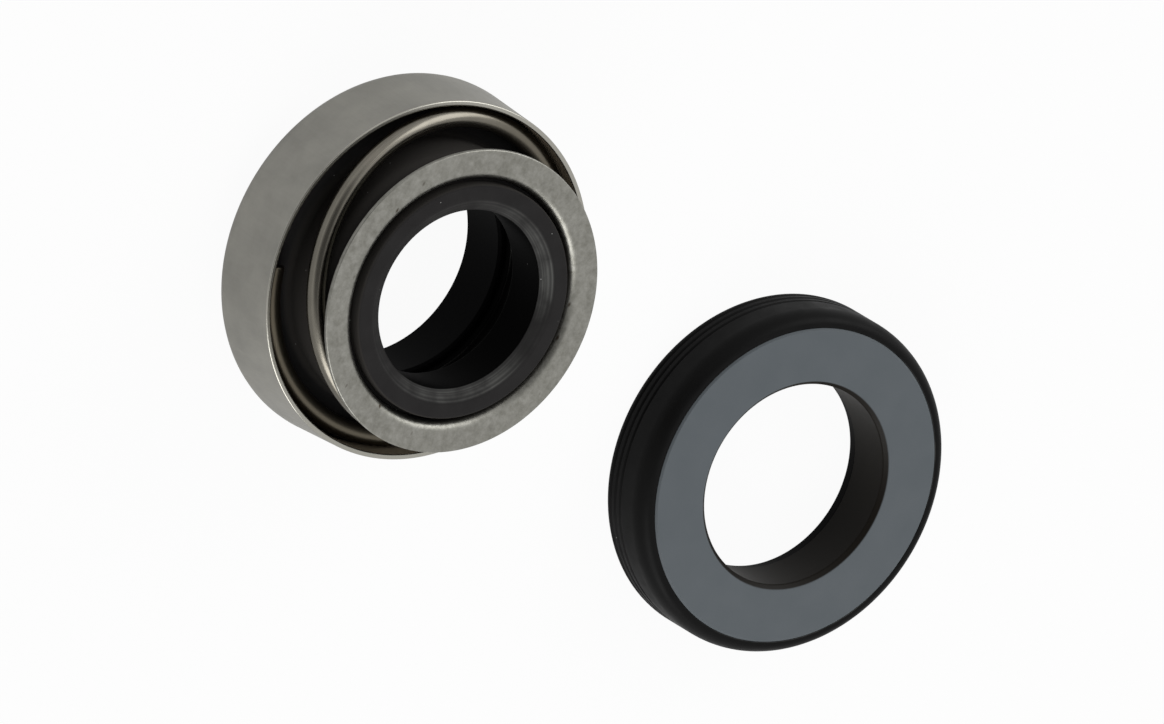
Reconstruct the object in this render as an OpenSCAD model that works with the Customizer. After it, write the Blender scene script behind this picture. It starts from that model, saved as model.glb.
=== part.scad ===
// Shaft seal for a small water pump: a sprung rotating head and the stationary seat it runs on.
// The head lies on its running face and the seat on its back, both axes along +Z, apart along +Y.
// Millimetres. Z is 0 on the table, the head's centre is at head_y and the seat's at seat_y.

/* [Shaft] */
// Diameter of the shaft that the rubber tail grips
shaft_d = 19.05; // [18.6:0.05:19.4]

/* [Carbon ring] */
// Gap all round between the shaft and the carbon's bore
carbon_gap = 2.075; // [1.6:0.025:2.4]
// Width of the carbon's running face
nose_w = 2.8; // [2.2:0.1:3.4]
// Width of the carbon's shoulder, held in the rubber
shoulder_w = 2.1; // [1.5:0.1:2.6]
// Height that the running face stands out of the shell's back
carbon_proud = 2; // [1.4:0.1:2.8]
// Height of the carbon's body above its shoulder
carbon_body_h = 2.8; // [2:0.1:3.6]
// Chamfer that breaks the carbon's edges
carbon_chamfer = 0.25; // [0.1:0.05:0.4]

/* [Retainer shell] */
// Thickness of the shell's sheet
shell_t = 0.55; // [0.45:0.05:0.7]
// Height of the shell from its back to its rim
shell_h = 9.3; // [8.4:0.1:10]
// Inward lean of the shell's wall from its back to its rim
shell_lean = 0.5; // [0.2:0.05:0.8]
// Outside radius of the drawn corner
shell_corner_r = 1.7; // [1.2:0.1:2.4]
// Gap all round between the shell's opening and the carbon's nose
opening_gap = 1.1; // [0.6:0.05:1.6]
// Rounding of the sheets' cut edges
sheet_edge_r = 0.15; // [0.05:0.05:0.2]

/* [Rubber bellows] */
// Thickness of the rubber round the carbon, inside the shell
cup_t = 2.6; // [2.2:0.05:3]
// Thickness of the rubber under the carbon's shoulder
lip_t = 1.05; // [0.7:0.05:1.3]
// Thickness of the rubber behind the carbon, which the spring pushes on
back_t = 1.2; // [0.9:0.05:1.6]
// Step from the carbon's bore out to the hole in the rubber behind it
back_step = 0.6; // [0.3:0.05:0.8]
// Thickness of the tail round the shaft
tail_t = 3.375; // [2.8:0.025:3.6]
// Flare of the flexible wall beyond the tail
wall_flare = 1.6; // [1.2:0.05:1.8]
// Thickness of the flexible wall
wall_t = 1.4; // [1.1:0.05:1.6]
// Length of the tail's grip on the shaft
grip_l = 5.2; // [4.4:0.1:5.8]
// Height that the tail's face stands out of the spring holder
tail_proud = 0.2; // [0.1:0.05:0.4]
// Width of the lead-in chamfer at the mouth of the tail
lead_in_w = 1.35; // [0.9:0.05:1.6]
// Depth of the lead-in chamfer
lead_in_h = 0.9; // [0.6:0.05:1.2]
// Step in from the tail's outside to its face, beside the holder's rolled edge
tail_step_w = 0.4; // [0.3:0.05:0.6]
// Depth of that step below the tail's face
tail_step_h = 1.6; // [1.2:0.05:1.8]
// Rounding of the tail's front edge
tail_edge_r = 0.15; // [0.1:0.05:0.2]

/* [Coil spring] */
// Diameter of the spring wire
wire_d = 2; // [1.7:0.05:2.1]
// Free length of the spring over its end coils
spring_free_l = 9.85; // [9.4:0.05:10.6]
// Gap all round between the wide coil and the foot of the shell's wall
wide_gap = 0.75; // [0.6:0.05:1]
// Gap all round between the holder's collar and the narrow coil
narrow_gap = 0.4; // [0.2:0.05:0.6]
// Direction of the wide coil's cut end, degrees from +X
coil_start_a = 291; // [0:1:359]
// Turn of the wide coil that lies closed, in degrees
wide_turn = 204; // [180:1:220]
// Turn of the open coil between the two closed ones, in degrees
open_turn = 230; // [210:1:280]
// Turn of the open coil before it starts to narrow, in degrees
narrow_start = 60; // [40:1:75]
// Turn over which the coil narrows, in degrees
narrow_span = 190; // [160:1:210]
// Turn of the narrow coil that lies closed, in degrees
narrow_turn = 180; // [150:1:330]
// Rise of the wide coil over its closed turn, as it lies in the shell
wide_rise = 0.3; // [0:0.05:0.6]

/* [Spring holder] */
// Width of the flat ring beyond the collar
holder_w = 2.7; // [2.4:0.05:3]
// Thickness of the holder's sheet
holder_t = 0.5; // [0.4:0.05:0.65]
// Length of the collar below the holder's front face
collar_l = 2.8; // [2.2:0.1:3.4]
// Outside radius of the bend where the flat ring turns into the collar
roll_r = 1.1; // [0.8:0.05:1.2]
// Gap between the collar and the rubber tail
collar_gap = 0.05; // [0.03:0.01:0.1]
// Gap between the holder and the spring's last coil
spring_gap = 0.05; // [0.03:0.01:0.1]

/* [Seat ring] */
// Gap all round between the shaft and the ring's bore
ring_gap = 1.325; // [0.9:0.025:1.8]
// Width of the lapped face
ring_w = 6.15; // [5.6:0.05:6.6]
// Thickness of the seat ring
ring_h = 6; // [5.5:0.1:7]
// Chamfer that breaks the ring's edges
ring_chamfer = 0.2; // [0.1:0.05:0.3]

/* [Seat boot] */
// Thickness of the boot round the ring
boot_t = 1.55; // [1.3:0.05:1.9]
// Thickness of the boot's floor under the ring
boot_floor_t = 1.3; // [1:0.05:1.8]
// Step from the ring's bore out to the hole in the boot's floor
hole_step = 0.25; // [0.1:0.05:0.7]
// Height that the seat face stands above the boot's edge
face_proud = 0.15; // [0.05:0.05:0.4]
// Thickness of the boot at its front edge
boot_edge_t = 0.3; // [0.2:0.05:0.5]
// Height of the rounded front shoulder
shoulder_h = 2; // [1.5:0.1:2.4]
// Rounding of the boot's back corner
boot_back_r = 0.7; // [0.4:0.05:0.9]
// Number of fine grooves round the boot's back
groove_count = 3; // [0:1:3]
// Height of the first groove above the boot's back
groove_z = 1.05; // [1:0.05:1.2]
// Distance between grooves
groove_pitch = 0.9; // [0.7:0.05:0.95]
// Width of a groove
groove_w = 0.4; // [0.2:0.05:0.5]
// Depth of a groove
groove_h = 0.22; // [0.1:0.02:0.3]

/* [Layout] */
// Free space between the head and the seat
pair_gap = 19.7; // [10:0.1:40]

/* [Hidden] */
$fn = 96;

// Colours as the photograph shows them
carbon_grey = "#2b2b2e";
shell_grey = "#8f8e89";
rubber_black = "#1b1b1c";
wire_grey = "#b4b0a6";
holder_grey = "#96958f";
ceramic_grey = "#5c6266";

// Heights in the head, from the running face up
shell_z = carbon_proud;
shell_floor_z = shell_z + shell_t;
shoulder_z = shell_floor_z + lip_t;
carbon_top_z = shoulder_z + carbon_body_h;
spring_seat_z = carbon_top_z + back_t;
rim_z = shell_z + shell_h;
holder_under_z = spring_seat_z + spring_free_l + spring_gap;
holder_face_z = holder_under_z + holder_t;
collar_z = holder_face_z - collar_l;
tail_z = holder_face_z + tail_proud;
grip_z = tail_z - lead_in_h - grip_l;

// Radii in the head, from the shaft out
shaft_r = shaft_d / 2;
carbon_bore_r = shaft_r + carbon_gap;
carbon_nose_r = carbon_bore_r + nose_w;
carbon_body_r = carbon_nose_r + shoulder_w;
shell_in_r = carbon_body_r + cup_t;
shell_r = shell_in_r + shell_t;
rim_r = shell_r - shell_lean;
opening_r = carbon_nose_r + opening_gap;
back_bore_r = carbon_bore_r + back_step;
tail_r = shaft_r + tail_t;
wall_r = tail_r + wall_flare;
wall_in_r = wall_r - wall_t;
collar_in_r = tail_r + collar_gap;
collar_r = collar_in_r + holder_t;
holder_r = collar_r + holder_w;

// The bellows' roundings and the height at which its wall turns in to the tail
cup_edge_r = 0.5;
foot_r = 1;
hip_r = 1.5;
neck_r = 0.7;
cavity_r = 0.6;
edge_r = 0.25;
neck_z = collar_z - 0.2;
hip_z = neck_z - 1.1;
cavity_top_z = grip_z - 0.3;
bead_w = 0.5;
bead_h = 0.3;

// Heights and radii in the seat
ring_bore_r = shaft_r + ring_gap;
ring_r = ring_bore_r + ring_w;
boot_r = ring_r + boot_t;
hole_r = ring_bore_r + hole_step;
seat_face_z = boot_floor_t + ring_h;
boot_top_z = seat_face_z - face_proud;
land_top_z = boot_top_z - shoulder_h;
curve_w = boot_t - boot_edge_t;

// Places of the two axes, so that the pair's box is centred on the origin
pair_l = 2 * shell_r + pair_gap + 2 * boot_r;
head_y = shell_r - pair_l / 2;
seat_y = pair_l / 2 - boot_r;

// The spring's path: a wide closed coil, an open one that narrows as it climbs, a narrow closed one
wire_r = wire_d / 2;
wide_r = shell_in_r - wide_gap - wire_r;
narrow_r = collar_r + narrow_gap + wire_r;
wire_sides = 12;
coil_step = 7.5;
coil_turn = wide_turn + open_turn + narrow_turn;
coil_rings = ceil(coil_turn / coil_step);
coil_low_z = spring_seat_z + wire_r;
coil_high_z = spring_seat_z + spring_free_l - wire_r;

arc_steps = 6;
overlap = 1;

function unit(v) = v / norm(v);

// The shell's inside radius at a height, as its wall leans in towards the rim
function shell_inside(z) = shell_in_r - shell_lean * (z - shell_z) / shell_h;

// Share of a change that is made after a share t of its way, gently at both ends
function eased(t) =
    let (u = min(max(t, 0), 1))
    u * u * (3 - 2 * u);

// Shares of the climb and of the narrowing that the wire has made after a turn of a degrees
function climb(a) = eased((a - wide_turn) / open_turn);
function narrowing(a) = eased((a - wide_turn - narrow_start) / narrow_span);

// The wire's centre after a turn of a degrees
function wire_point(a) =
    let (
        s = climb(a),
        settle = wide_rise * min(a / wide_turn, 1),
        r = wide_r + (narrow_r - wide_r) * narrowing(a),
        z = coil_low_z + settle + (coil_high_z - coil_low_z - settle) * s,
        turn = coil_start_a + a
    )
    [r * cos(turn), r * sin(turn), z];

// The ring of points round the wire's centre after a turn of a degrees
function wire_ring(a) =
    let (
        c = wire_point(a),
        along = unit(wire_point(a + 1) - wire_point(a - 1)),
        out = unit([c.x, c.y, 0]),
        up = unit(cross(out, along))
    )
    [for (k = [0 : wire_sides - 1])
        let (b = k * 360 / wire_sides)
        c + wire_r * (cos(b) * out - sin(b) * up)];

// The arc of radius r that rounds the corner b between a and c
function corner(a, b, c, r) =
    r <= 0 ? [b] :
    let (
        u = unit(a - b),
        w = unit(c - b),
        half = acos(u * w) / 2,
        centre = b + unit(u + w) * r / sin(half),
        start = b + u * r / tan(half) - centre,
        from = atan2(start.y, start.x),
        sweep = (cross(u, w) < 0 ? 1 : -1) * (180 - 2 * half)
    )
    [for (i = [0 : arc_steps])
        let (g = from + sweep * i / arc_steps)
        centre + r * [cos(g), sin(g)]];

// An outline of corners, each [radius, height, rounding], with its roundings worked out
function outline(p) =
    [for (i = [0 : len(p) - 1])
        let (
            last = p[(i + len(p) - 1) % len(p)],
            here = p[i],
            next = p[(i + 1) % len(p)]
        )
        each corner([last.x, last.y], [here.x, here.y], [next.x, next.y], here[2])];

// A body of revolution from an outline of corners
module turned(corners) {
    rotate_extrude()
        polygon(outline(corners));
}

// Pressed carbon ring: a narrow running nose below a wider body
module carbon_ring() {
    color(carbon_grey)
        translate([0, head_y, 0])
            turned([
                [carbon_bore_r + carbon_chamfer, 0, 0],
                [carbon_nose_r - carbon_chamfer, 0, 0],
                [carbon_nose_r, carbon_chamfer, 0],
                [carbon_nose_r, shoulder_z, 0],
                [carbon_body_r, shoulder_z, 0],
                [carbon_body_r, carbon_top_z - carbon_chamfer, 0],
                [carbon_body_r - carbon_chamfer, carbon_top_z, 0],
                [carbon_bore_r + carbon_chamfer, carbon_top_z, 0],
                [carbon_bore_r, carbon_top_z - carbon_chamfer, 0],
                [carbon_bore_r, carbon_chamfer, 0]
            ]);
}

// Drawn stainless shell round the rubber cup, open towards the spring
module retainer_shell() {
    color(shell_grey)
        translate([0, head_y, 0])
            turned([
                [opening_r, shell_z, sheet_edge_r],
                [shell_r, shell_z, shell_corner_r],
                [rim_r, rim_z, sheet_edge_r],
                [rim_r - shell_t, rim_z, sheet_edge_r],
                [shell_inside(shell_floor_z), shell_floor_z, shell_corner_r - shell_t],
                [opening_r, shell_floor_z, sheet_edge_r]
            ]);
}

// One moulded rubber piece: a cup round the carbon, a flexible wall and a tail that grips the shaft
module bellows() {
    color(rubber_black)
        translate([0, head_y, 0])
            difference() {
                turned([
                    [carbon_nose_r, shell_floor_z, 0],
                    [shell_inside(shell_floor_z), shell_floor_z, shell_corner_r - shell_t],
                    [shell_inside(spring_seat_z), spring_seat_z, cup_edge_r],
                    [wall_r, spring_seat_z, foot_r],
                    [wall_r, hip_z, hip_r],
                    [tail_r, neck_z, neck_r],
                    [tail_r, tail_z - tail_step_h, edge_r],
                    [tail_r - tail_step_w, tail_z - tail_step_h, 0],
                    [tail_r - tail_step_w, tail_z, tail_edge_r],
                    [shaft_r + lead_in_w, tail_z, 0],
                    [shaft_r + lead_in_w - bead_w, tail_z - bead_h, 0],
                    [shaft_r, tail_z - lead_in_h, 0],
                    [shaft_r, grip_z, edge_r],
                    [wall_in_r, cavity_top_z, cavity_r],
                    [wall_in_r, spring_seat_z, cavity_r],
                    [back_bore_r, spring_seat_z, edge_r],
                    [back_bore_r, carbon_top_z - overlap, 0],
                    [carbon_nose_r, carbon_top_z - overlap, 0]
                ]);
                carbon_room();
            }
}

// The space that the carbon's body takes in the rubber cup
module carbon_room() {
    translate([0, 0, shoulder_z])
        cylinder(h = carbon_body_h, r = carbon_body_r);
}

// Round wire spring, squared off at both ends
module coil_spring() {
    last = coil_rings * wire_sides;
    points = [for (i = [0 : coil_rings])
        each wire_ring(coil_turn * i / coil_rings)];
    start_cap = [for (k = [1 : wire_sides - 2]) [0, k, k + 1]];
    end_cap = [for (k = [1 : wire_sides - 2]) [last, last + k + 1, last + k]];
    skin = [for (i = [0 : coil_rings - 1], k = [0 : wire_sides - 1])
        let (
            a = i * wire_sides + k,
            b = i * wire_sides + (k + 1) % wire_sides
        )
        each [[a, a + wire_sides, b], [b, a + wire_sides, b + wire_sides]]];
    color(wire_grey)
        translate([0, head_y, 0])
            polyhedron(points = points, faces = concat(start_cap, skin, end_cap));
}

// Pressed stainless ring that bears on the spring, turned down into a collar round the tail
module spring_holder() {
    color(holder_grey)
        translate([0, head_y, 0])
            turned([
                [collar_in_r, collar_z, sheet_edge_r],
                [collar_r, collar_z, sheet_edge_r],
                [collar_r, holder_under_z, roll_r - holder_t],
                [holder_r, holder_under_z, sheet_edge_r],
                [holder_r, holder_face_z, sheet_edge_r],
                [collar_in_r, holder_face_z, roll_r]
            ]);
}

// Lapped ceramic ring that the carbon runs on
module seat_ring() {
    color(ceramic_grey)
        translate([0, seat_y, 0])
            turned([
                [ring_bore_r + ring_chamfer, boot_floor_t, 0],
                [ring_r - ring_chamfer, boot_floor_t, 0],
                [ring_r, boot_floor_t + ring_chamfer, 0],
                [ring_r, seat_face_z - ring_chamfer, 0],
                [ring_r - ring_chamfer, seat_face_z, 0],
                [ring_bore_r + ring_chamfer, seat_face_z, 0],
                [ring_bore_r, seat_face_z - ring_chamfer, 0],
                [ring_bore_r, boot_floor_t + ring_chamfer, 0]
            ]);
}

// Moulded rubber cup that seals the ring in its housing, grooved near its back
module seat_boot() {
    color(rubber_black)
        translate([0, seat_y, 0])
            difference() {
                turned(concat(
                    [[hole_r, 0, edge_r], [boot_r, 0, boot_back_r]],
                    shoulder(),
                    [[ring_r, boot_top_z, 0], [ring_r, boot_floor_t, 0]],
                    [[hole_r, boot_floor_t, edge_r]]
                ));
                for (i = [0 : 1 : groove_count - 1])
                    groove(groove_z + i * groove_pitch);
            }
}

// The quarter ellipse of the boot's shoulder, from the land up to the front edge
function shoulder() =
    [for (i = [0 : 2 * arc_steps])
        let (g = 90 * i / (2 * arc_steps))
        [
            boot_r - curve_w * (1 - cos(g)),
            land_top_z + shoulder_h * sin(g),
            0
        ]];

// One V-shaped groove in the boot's outside
module groove(z) {
    translate([0, 0, z])
        turned([
            [boot_r - groove_h, 0, 0],
            [boot_r + overlap, -groove_w / 2 * (1 + overlap / groove_h), 0],
            [boot_r + overlap, groove_w / 2 * (1 + overlap / groove_h), 0]
        ]);
}

carbon_ring();
retainer_shell();
bellows();
coil_spring();
spring_holder();
seat_ring();
seat_boot();
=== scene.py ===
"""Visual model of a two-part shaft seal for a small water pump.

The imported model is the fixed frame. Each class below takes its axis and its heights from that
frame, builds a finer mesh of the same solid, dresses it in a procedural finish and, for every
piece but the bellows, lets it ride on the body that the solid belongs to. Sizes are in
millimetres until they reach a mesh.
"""

import logging
import math
from dataclasses import dataclass
from enum import Enum
from typing import Any

import bpy
from mathutils import Matrix, Vector


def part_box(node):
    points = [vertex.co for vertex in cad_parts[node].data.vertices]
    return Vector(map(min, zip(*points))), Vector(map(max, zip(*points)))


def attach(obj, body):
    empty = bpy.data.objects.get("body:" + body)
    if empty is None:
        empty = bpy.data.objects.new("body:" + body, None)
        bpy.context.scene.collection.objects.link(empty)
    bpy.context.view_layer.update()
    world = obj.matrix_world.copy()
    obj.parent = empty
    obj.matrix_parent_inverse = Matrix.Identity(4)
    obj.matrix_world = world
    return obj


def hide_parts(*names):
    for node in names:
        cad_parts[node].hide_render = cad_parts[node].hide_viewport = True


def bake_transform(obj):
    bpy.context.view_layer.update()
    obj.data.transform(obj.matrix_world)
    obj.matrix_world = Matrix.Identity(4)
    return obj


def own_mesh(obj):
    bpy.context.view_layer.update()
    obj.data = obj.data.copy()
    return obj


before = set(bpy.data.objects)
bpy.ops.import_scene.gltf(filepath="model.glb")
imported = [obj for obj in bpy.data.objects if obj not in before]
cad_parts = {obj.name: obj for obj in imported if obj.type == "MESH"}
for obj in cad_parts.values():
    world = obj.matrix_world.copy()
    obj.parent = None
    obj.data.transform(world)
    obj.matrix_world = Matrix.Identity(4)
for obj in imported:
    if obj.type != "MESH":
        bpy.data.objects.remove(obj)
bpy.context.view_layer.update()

log = logging.getLogger("shaft_seal")

MM = 0.001

# The middle of a noise texture's range, which holds nearly all of its values.
NOISE_LOW = 0.3
NOISE_HIGH = 0.7

# Bends sharper than this, in degrees, break the smooth shading.
SHARP_FROM = 35

# A corner that turns by less than this, in radians, stays a point.
STRAIGHT = 1e-4


class Body(Enum):
    """The bodies of the frame that a piece can ride on."""

    SEALING = "sealing_side"
    DRIVE = "drive_side"


class Slot(Enum):
    """The record's material slots."""

    DRAWN_STAINLESS = "drawn_stainless"
    TUMBLED_STAINLESS = "tumbled_stainless"
    SPRING_WIRE = "spring_wire"
    MOULDED_RUBBER = "moulded_rubber"
    PRESSED_CARBON = "pressed_carbon"
    LAPPED_CERAMIC = "lapped_ceramic"


@dataclass(frozen=True)
class Corner:
    """A corner of a turned outline, in millimetres.

    Attributes:
        r: Distance from the axis.
        z: Height.
        rounding: Radius of the arc that rounds the corner.
    """

    r: float
    z: float
    rounding: float = 0.04


@dataclass(frozen=True)
class Place:
    """Where a node of the frame lies, in millimetres.

    Attributes:
        x: Position of its axis along X.
        y: Position of its axis along Y.
        low: Its lowest point.
        high: Its highest point.
        radius: Half its width across the axis.
    """

    x: float
    y: float
    low: float
    high: float
    radius: float


def place_of(node: str) -> Place:
    """Reads the place of a round node from the frame.

    Args:
        node: Name of the node.

    Returns:
        Its place in millimetres.
    """
    low, high = (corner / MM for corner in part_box(node))
    middle = (low + high) / 2
    return Place(middle.x, middle.y, low.z, high.z, (high.x - low.x) / 2)


def to_linear(hex_colour: str) -> tuple[float, float, float, float]:
    """Turns an sRGB hex colour into the linear colour that shaders take.

    Args:
        hex_colour: A colour such as "#8c8b86".

    Returns:
        Linear red, green and blue, and an alpha of 1.
    """
    digits = hex_colour.lstrip("#")
    parts = [int(digits[i : i + 2], 16) / 255 for i in (0, 2, 4)]
    red, green, blue = (
        part / 12.92 if part <= 0.04045 else ((part + 0.055) / 1.055) ** 2.4 for part in parts
    )
    return red, green, blue, 1.0


def scale_for(size_mm: float) -> float:
    """Gives the texture scale whose features are size_mm across, in object coordinates."""
    return 1 / (size_mm * MM)


def eased(share: float) -> float:
    """Gives the share of a change after a share of its way, gently at both ends."""
    share = min(max(share, 0.0), 1.0)
    return share * share * (3 - 2 * share)


def add_node(
    tree: bpy.types.NodeTree,
    kind: str,
    settings: dict[str, Any] | None = None,
    inputs: dict[str | int, Any] | None = None,
) -> bpy.types.Node:
    """Adds a shader node, sets its properties and fills or links its inputs.

    Args:
        tree: The tree that takes the node.
        kind: The node's type without its ShaderNode prefix.
        settings: Properties to set.
        inputs: For each input, a value or the output socket to link to it.

    Returns:
        The new node.
    """
    node = tree.nodes.new(f"ShaderNode{kind}")
    for name, value in (settings or {}).items():
        setattr(node, name, value)
    for name, value in (inputs or {}).items():
        if isinstance(value, bpy.types.NodeSocket):
            tree.links.new(value, node.inputs[name])
        else:
            node.inputs[name].default_value = value
    return node


def new_tree(name: str) -> tuple[bpy.types.Material, bpy.types.NodeTree]:
    """Makes an empty node material.

    Args:
        name: The material's name.

    Returns:
        The material and its node tree.
    """
    material = bpy.data.materials.new(name)
    material.use_nodes = True
    material.node_tree.nodes.clear()
    return material, material.node_tree


def output_surface(tree: bpy.types.NodeTree, shader: bpy.types.Node) -> None:
    """Links a shader's first output to the material's surface."""
    add_node(tree, "OutputMaterial", inputs={"Surface": shader.outputs[0]})


def round_axis(
    tree: bpy.types.NodeTree,
    where: bpy.types.Node,
    axis_mm: tuple[float, float] = (0.0, 0.0),
) -> tuple[bpy.types.NodeSocket, bpy.types.NodeSocket]:
    """Places a surface against the axis that its piece is turned round.

    Args:
        tree: The material's tree.
        where: Its texture coordinate node.
        axis_mm: Where the axis crosses the piece's own X and Y, in millimetres.

    Returns:
        How far the surface faces outwards, from 1 on an outside wall over 0 on a flat face to -1
        in a bore, and its distance from the axis in metres.
    """
    centred = add_node(
        tree,
        "VectorMath",
        {"operation": "SUBTRACT"},
        {0: where.outputs["Object"], 1: (axis_mm[0] * MM, axis_mm[1] * MM, 0.0)},
    )
    across = add_node(
        tree,
        "VectorMath",
        {"operation": "MULTIPLY"},
        {0: centred.outputs["Vector"], 1: (1.0, 1.0, 0.0)},
    )
    unit = add_node(
        tree, "VectorMath", {"operation": "NORMALIZE"}, {0: across.outputs["Vector"]}
    )
    facing = add_node(
        tree,
        "VectorMath",
        {"operation": "DOT_PRODUCT"},
        {0: unit.outputs["Vector"], 1: where.outputs["Normal"]},
    )
    distance = add_node(
        tree, "VectorMath", {"operation": "LENGTH"}, {0: across.outputs["Vector"]}
    )
    return facing.outputs["Value"], distance.outputs["Value"]


@dataclass(frozen=True)
class DrawnStainless:
    """Stainless steel sheet, deep drawn into a cup: a satin wall with faint draw lines.

    The die leaves fine lines along the wall and slow clouds of lighter and darker grey, and a
    turning polish spreads each reflection along the axis. The faces that look upwards, mostly the
    trimmed rim, are burnished and painted lighter as a painted highlight, and the faces that look
    inwards get a duller finish and a brown painted fill light for the shaded inside of the cup.

    Attributes:
        inside_fill_facing: How far the wall faces outwards where the painted fill light starts and
            is full.
        rim_highlight_upward: How far it faces upwards where the painted highlight starts and is
            full.
    """

    name: str = "drawn_stainless_304"
    dark: str = "#7f7e79"
    light: str = "#a6a49c"
    # Painted fill light: a brown on the faces that look inwards, for the shaded inside of the cup.
    inside_fill_light: str = "#8d8271"
    inside_fill_roughness: float = 0.62
    inside_fill_facing: tuple[float, float] = (-0.3, -0.8)
    # Burnished edge and painted highlight: the faces that look upwards, mostly the rim, are lighter.
    rim: str = "#9c9a92"
    rim_roughness: float = 0.22
    rim_highlight_upward: tuple[float, float] = (0.15, 0.5)
    cloud_mm: float = 5.0
    # Real draw lines are about 0.05 mm wide. They are drawn coarser so that they show.
    line_mm: float = 0.25
    line_length_mm: float = 6.0
    roughness: float = 0.36
    glossier: float = 0.04
    duller: float = 0.05
    anisotropy: float = 0.75
    relief_mm: float = 0.004

    def material(self) -> bpy.types.Material:
        """Builds the material.

        Returns:
            The finished material.
        """
        material, tree = new_tree(self.name)
        where = add_node(tree, "TexCoord")
        clouds = add_node(
            tree,
            "TexNoise",
            inputs={
                "Vector": where.outputs["Object"],
                "Scale": scale_for(self.cloud_mm),
                "Detail": 4.0,
                "Roughness": 0.6,
            },
        )
        stretched = add_node(
            tree,
            "Mapping",
            inputs={
                "Vector": where.outputs["Object"],
                "Scale": (1.0, 1.0, self.line_mm / self.line_length_mm),
            },
        )
        lines = add_node(
            tree,
            "TexNoise",
            inputs={
                "Vector": stretched.outputs["Vector"],
                "Scale": scale_for(self.line_mm),
                "Detail": 3.0,
            },
        )
        shade = add_node(
            tree,
            "Mix",
            {"data_type": "RGBA"},
            {
                "Factor": clouds.outputs["Fac"],
                6: to_linear(self.dark),
                7: to_linear(self.light),
            },
        )
        gloss = add_node(
            tree,
            "MapRange",
            inputs={
                "Value": lines.outputs["Fac"],
                "From Min": NOISE_LOW,
                "From Max": NOISE_HIGH,
                "To Min": self.roughness - self.glossier,
                "To Max": self.roughness + self.duller,
            },
        )
        facing, _ = round_axis(tree, where)
        upward = add_node(tree, "SeparateXYZ", inputs={"Vector": where.outputs["Normal"]})
        colour, roughness = shade.outputs[2], gloss.outputs["Result"]
        # Lays painted fill light on the faces that look inwards, then the burnished rim's painted
        # highlight on those that look upwards.
        for value, (start, full), over, over_roughness in (
            (facing, self.inside_fill_facing, self.inside_fill_light, self.inside_fill_roughness),
            (upward.outputs["Z"], self.rim_highlight_upward, self.rim, self.rim_roughness),
        ):
            mask = add_node(
                tree,
                "MapRange",
                inputs={"Value": value, "From Min": start, "From Max": full},
            )
            coloured = add_node(
                tree,
                "Mix",
                {"data_type": "RGBA"},
                {"Factor": mask.outputs["Result"], 6: colour, 7: to_linear(over)},
            )
            finished = add_node(
                tree,
                "Mix",
                {"data_type": "FLOAT"},
                {0: mask.outputs["Result"], 2: roughness, 3: over_roughness},
            )
            colour, roughness = coloured.outputs[2], finished.outputs[0]
        relief = add_node(
            tree,
            "Bump",
            inputs={
                "Height": lines.outputs["Fac"],
                "Distance": self.relief_mm * MM,
                "Strength": 1.0,
            },
        )
        along = add_node(tree, "Tangent", {"direction_type": "RADIAL", "axis": "Z"})
        shader = add_node(
            tree,
            "BsdfPrincipled",
            inputs={
                "Base Color": colour,
                "Metallic": 1.0,
                "Roughness": roughness,
                "Anisotropic": self.anisotropy,
                "Anisotropic Rotation": 0.25,
                "Normal": relief.outputs["Normal"],
                "Tangent": along.outputs["Tangent"],
            },
        )
        output_surface(tree, shader)
        return material


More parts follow.
